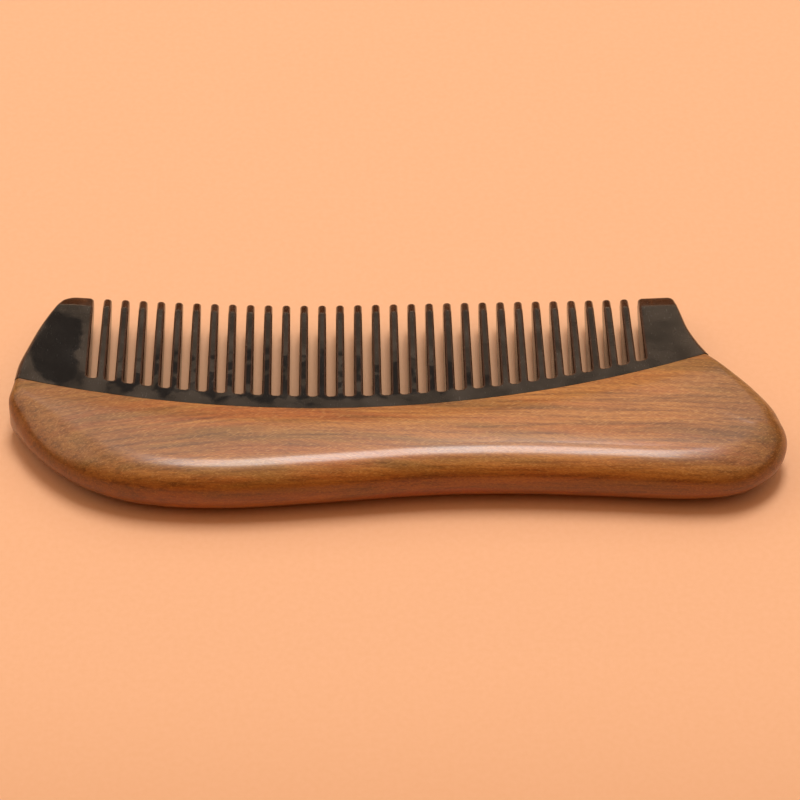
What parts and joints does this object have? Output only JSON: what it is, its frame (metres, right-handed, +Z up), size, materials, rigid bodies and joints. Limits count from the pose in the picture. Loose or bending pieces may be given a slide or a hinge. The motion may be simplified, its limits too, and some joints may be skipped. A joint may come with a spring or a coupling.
{
  "type": "beard comb",
  "caption": "Handle-less beard comb: black horn tooth plate with thick end teeth, glued by a tongue into the groove of a rounded, wavy hardwood back.",
  "frame": {"origin": "under the middle of the comb's bounding box, on the surface that the comb lies flat on", "axes": "+X along the comb, from the long left guard tooth to the bulging end of the back; +Y from the wooden back towards the tooth tips, along the teeth; +Z up, through the comb's thickness"},
  "size_m": [0.148, 0.055, 0.012],
  "materials": {
    "black_horn": null,
    "sandalwood": "close-grained brown sandalwood, sanded round and waxed to a satin polish",
    "cured_glue": "cured amber adhesive"
  },
  "bodies": {
    "root": {"horn_tooth_plate": "black_horn", "wood_back": "sandalwood", "glue_line": "cured_glue"}
  },
  "joints": []
}
